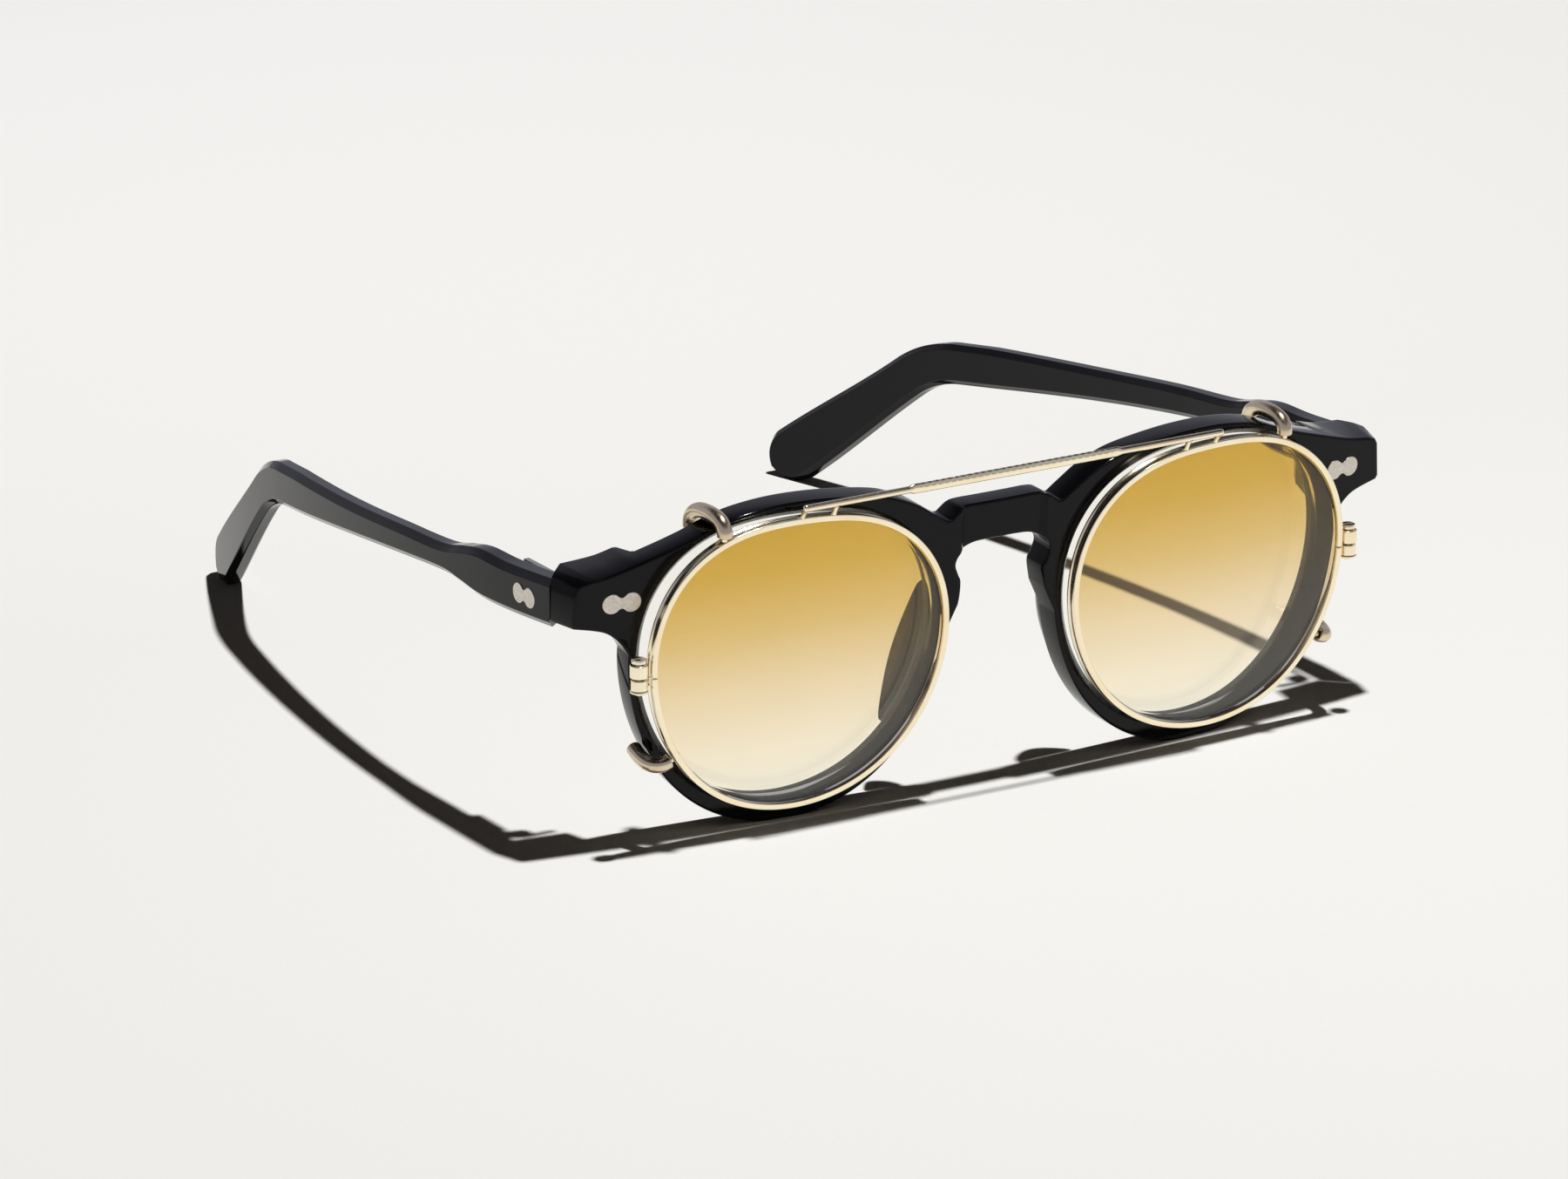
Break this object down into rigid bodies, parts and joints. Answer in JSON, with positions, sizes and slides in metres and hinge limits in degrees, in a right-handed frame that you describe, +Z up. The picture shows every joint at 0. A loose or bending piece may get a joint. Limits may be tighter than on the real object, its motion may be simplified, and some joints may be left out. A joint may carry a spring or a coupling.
{
  "type": "clip-on sunglasses on an eyeglass frame",
  "caption": "Round glossy black acetate glasses with a keyhole bridge, carrying a hooked gold wire clip-on with gradient amber sun lenses.",
  "frame": {"origin": "middle of the footprint on the surface that the rim bottoms and temple tips stand on", "axes": "+Z up; the wearer looks along -Y, so the lenses face -Y and the temples run back to +Y; +X is the wearer's left"},
  "size_m": [0.1368, 0.145, 0.0479],
  "materials": {
    "black_acetate": "tumbled and polished black cellulose acetate",
    "clear_lens": "clear polished lens",
    "amber_gradient_lens": "amber tint that fades to pale straw towards the bottom",
    "pale_gold": "polished pale gold plate",
    "champagne_sleeve": "satin champagne-coloured sleeve",
    "satin_nickel": "satin nickel silver",
    "hinge_steel": "plain machined steel"
  },
  "bodies": {
    "front_frame": {"front": "black_acetate", "frame_lens_left": "clear_lens", "frame_lens_right": "clear_lens", "nose_pad_left": "black_acetate", "nose_pad_right": "black_acetate", "front_rivet_left": "satin_nickel", "front_rivet_right": "satin_nickel", "front_hinge_leaf_left": "hinge_steel", "front_hinge_leaf_right": "hinge_steel", "hinge_screw_left": "hinge_steel", "hinge_screw_right": "hinge_steel"},
    "temple_left": {"temple_left": "black_acetate", "temple_core_wire_left": "hinge_steel", "temple_rivet_left": "satin_nickel", "temple_hinge_leaf_left": "hinge_steel"},
    "temple_right": {"temple_right": "black_acetate", "temple_core_wire_right": "hinge_steel", "temple_rivet_right": "satin_nickel", "temple_hinge_leaf_right": "hinge_steel"},
    "clip_on": {"clip_bar": "pale_gold", "clip_rim_left": "pale_gold", "clip_lens_left": "amber_gradient_lens", "rim_lock_upper_left": "pale_gold", "rim_lock_lower_left": "pale_gold", "rim_lock_screw_left": "pale_gold", "top_hook_left_wire": "pale_gold", "top_hook_left_sleeve": "champagne_sleeve", "low_hook_left_wire": "pale_gold", "low_hook_left_sleeve": "champagne_sleeve", "clip_rim_right": "pale_gold", "clip_lens_right": "amber_gradient_lens", "rim_lock_upper_right": "pale_gold", "rim_lock_lower_right": "pale_gold", "rim_lock_screw_right": "pale_gold", "top_hook_right_wire": "pale_gold", "top_hook_right_sleeve": "champagne_sleeve", "low_hook_right_wire": "pale_gold", "low_hook_right_sleeve": "champagne_sleeve"}
  },
  "joints": [
    {"name": "temple_left_fold", "type": "hinge", "parent": "front_frame", "child": "temple_left", "pos_m": [-0.0621, -0.05414, 0.0349], "axis": [0, 0, -1], "range_deg": [0, 80]},
    {"name": "temple_right_fold", "type": "hinge", "parent": "front_frame", "child": "temple_right", "pos_m": [0.0621, -0.05414, 0.0349], "axis": [0, 0, 1], "range_deg": [0, 74]},
    {"name": "clip_tilt", "type": "hinge", "parent": "front_frame", "child": "clip_on", "pos_m": [0, -0.06404, 0.0441], "axis": [-1, 0, 0], "range_deg": [0, 30]}
  ]
}
